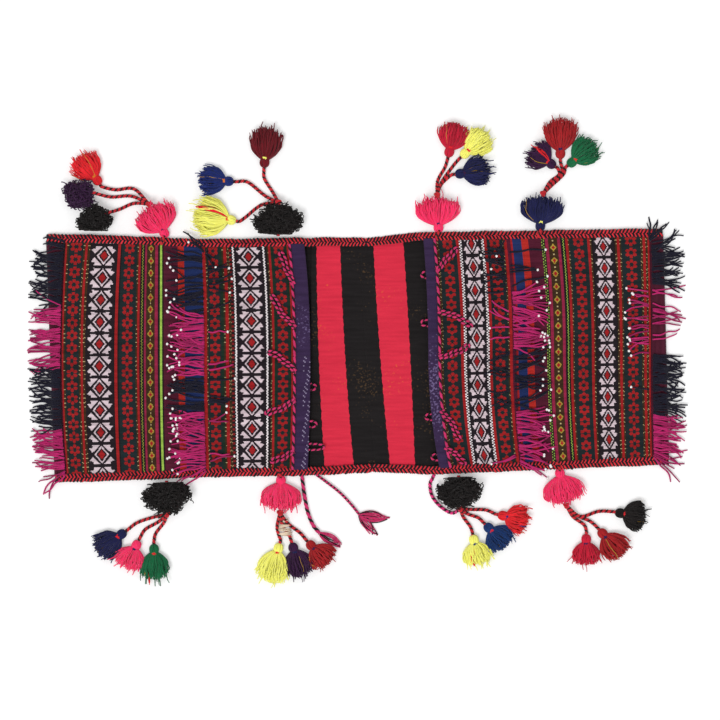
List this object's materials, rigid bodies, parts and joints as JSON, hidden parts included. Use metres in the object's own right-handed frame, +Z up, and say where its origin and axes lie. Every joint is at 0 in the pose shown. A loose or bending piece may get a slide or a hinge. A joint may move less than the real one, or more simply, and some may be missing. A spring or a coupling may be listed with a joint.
{
  "type": "double saddlebag",
  "caption": "Flat woven double saddlebag with a pouch at each end of a striped saddle panel, braided bindings, yarn fringes and tassels on cords.",
  "frame": {"origin": "on the surface the bag lies on, under the saddle panel", "axes": "+X along the bag from its left pouch to its right pouch, +Y across it to its far edge, +Z up"},
  "size_m": [1.2747, 0.9023, 0.0377],
  "materials": {
    "saddle_cloth": "plain weft-faced wool weave, crimson and black stripes",
    "back_cloth": "plain weft-faced wool weave, maroon",
    "face_weave": "brocaded kilim bands in wool",
    "hem": "purple plaited wool hem",
    "closing_braid": "pink and black twisted wool braid",
    "binding_braid": "red and navy chevron braid",
    "fringe_yarn": "magenta and navy wool yarn with white beads",
    "cord": "red and black twisted wool cord",
    "pink_yarn": "wool yarn",
    "black_yarn": "wool yarn",
    "navy_yarn": "wool yarn",
    "maroon_yarn": "wool yarn",
    "crimson_yarn": "wool yarn",
    "red_yarn": "wool yarn",
    "purple_yarn": "wool yarn",
    "blue_yarn": "wool yarn",
    "yellow_yarn": "wool yarn",
    "green_yarn": "wool yarn",
    "brick_yarn": "wool yarn",
    "teal_yarn": "wool yarn"
  },
  "bodies": {
    "saddle": {"saddle_panel": "saddle_cloth", "saddle_binding_far": "binding_braid", "saddle_binding_near": "binding_braid", "saddle_tail_braid": "closing_braid"},
    "left_pouch": {"left_pouch_back": "back_cloth", "left_binding_far": "binding_braid", "left_binding_near": "binding_braid", "left_end_fringe": "fringe_yarn"},
    "left_face": {"left_pouch_face": "face_weave", "left_mouth_hem": "hem", "left_closing_loops": "closing_braid", "left_face_fringe": "fringe_yarn"},
    "right_pouch": {"right_pouch_back": "back_cloth", "right_binding_far": "binding_braid", "right_binding_near": "binding_braid", "right_end_fringe": "fringe_yarn"},
    "right_face": {"right_pouch_face": "face_weave", "right_mouth_hem": "hem", "right_closing_loops": "closing_braid", "right_face_fringe": "fringe_yarn"},
    "tassels_a": {"tassels_a_root_tassel": "pink_yarn", "tassels_a_cords": "cord", "tassels_a_red_tassel": "red_yarn", "tassels_a_purple_pompom": "purple_yarn", "tassels_a_black_pompom": "black_yarn"},
    "tassels_b": {"tassels_b_root_pompom": "black_yarn", "tassels_b_cords": "cord", "tassels_b_maroon_tassel": "maroon_yarn", "tassels_b_blue_tassel": "blue_yarn", "tassels_b_yellow_tassel": "yellow_yarn"},
    "tassels_c": {"tassels_c_root_tassel": "pink_yarn", "tassels_c_cords": "cord", "tassels_c_crimson_tassel": "crimson_yarn", "tassels_c_yellow_tassel": "yellow_yarn", "tassels_c_navy_tassel": "navy_yarn"},
    "tassels_d": {"tassels_d_root_tassel": "navy_yarn", "tassels_d_cords": "cord", "tassels_d_purple_tassel": "purple_yarn", "tassels_d_brick_tassel": "brick_yarn", "tassels_d_green_tassel": "green_yarn"},
    "tassels_e": {"tassels_e_root_pompom": "black_yarn", "tassels_e_cords": "cord", "tassels_e_navy_tassel": "navy_yarn", "tassels_e_pink_tassel": "pink_yarn", "tassels_e_green_tassel": "green_yarn"},
    "tassels_f": {"tassels_f_root_tassel": "pink_yarn", "tassels_f_cords": "cord", "tassels_f_yellow_tassel": "yellow_yarn", "tassels_f_purple_tassel": "purple_yarn", "tassels_f_brick_tassel": "brick_yarn"},
    "tassels_g": {"tassels_g_root_pompom": "black_yarn", "tassels_g_cords": "cord", "tassels_g_red_tassel": "red_yarn", "tassels_g_yellow_tassel": "yellow_yarn", "tassels_g_teal_tassel": "teal_yarn"},
    "tassels_h": {"tassels_h_root_tassel": "pink_yarn", "tassels_h_cords": "cord", "tassels_h_black_tassel": "black_yarn", "tassels_h_crimson_tassel": "crimson_yarn", "tassels_h_brick_tassel": "brick_yarn"}
  },
  "joints": [
    {"name": "left_fold", "type": "hinge", "parent": "saddle", "child": "left_pouch", "pos_m": [-0.087, -0.001, 0.0012], "axis": [-0.0087, -1, 0], "range_deg": [-45, 90]},
    {"name": "left_mouth", "type": "hinge", "parent": "left_pouch", "child": "left_face", "pos_m": [-0.5645, -0.00421, 0.0114], "axis": [0.033, -0.9995, 0], "range_deg": [0, 10]},
    {"name": "right_fold", "type": "hinge", "parent": "saddle", "child": "right_pouch", "pos_m": [0.1329, 0.005, 0.0012], "axis": [-0.0619, 0.9981, 0], "range_deg": [-45, 90]},
    {"name": "right_mouth", "type": "hinge", "parent": "right_pouch", "child": "right_face", "pos_m": [0.5675, 0.01766, 0.0114], "axis": [-0.0286, 0.9996, 0], "range_deg": [0, 10]},
    {"name": "tassels_a_swing", "type": "hinge", "parent": "left_pouch", "child": "tassels_a", "pos_m": [-0.3744, 0.24199, 0.0065], "axis": [0.9999, -0.0128, 0], "range_deg": [0, 55]},
    {"name": "tassels_b_swing", "type": "hinge", "parent": "left_pouch", "child": "tassels_b", "pos_m": [-0.15369, 0.23518, 0.0065], "axis": [0.9999, -0.0128, 0], "range_deg": [0, 55]},
    {"name": "tassels_c_swing", "type": "hinge", "parent": "right_pouch", "child": "tassels_c", "pos_m": [0.15696, 0.24868, 0.0065], "axis": [0.9999, 0.0164, 0], "range_deg": [0, 55]},
    {"name": "tassels_d_swing", "type": "hinge", "parent": "right_pouch", "child": "tassels_d", "pos_m": [0.3543, 0.25192, 0.0065], "axis": [0.9999, 0.0164, 0], "range_deg": [0, 55]},
    {"name": "tassels_e_swing", "type": "hinge", "parent": "left_pouch", "child": "tassels_e", "pos_m": [-0.36959, -0.24388, 0.0065], "axis": [-0.9996, -0.027, 0], "range_deg": [0, 55]},
    {"name": "tassels_f_swing", "type": "hinge", "parent": "left_pouch", "child": "tassels_f", "pos_m": [-0.14827, -0.24191, 0.0065], "axis": [-0.9996, -0.027, 0], "range_deg": [0, 55]},
    {"name": "tassels_g_swing", "type": "hinge", "parent": "right_pouch", "child": "tassels_g", "pos_m": [0.19587, -0.232, 0.0065], "axis": [-0.9991, -0.0423, 0], "range_deg": [0, 55]},
    {"name": "tassels_h_swing", "type": "hinge", "parent": "right_pouch", "child": "tassels_h", "pos_m": [0.39218, -0.2277, 0.0065], "axis": [-0.9991, -0.0423, 0], "range_deg": [0, 55]}
  ]
}
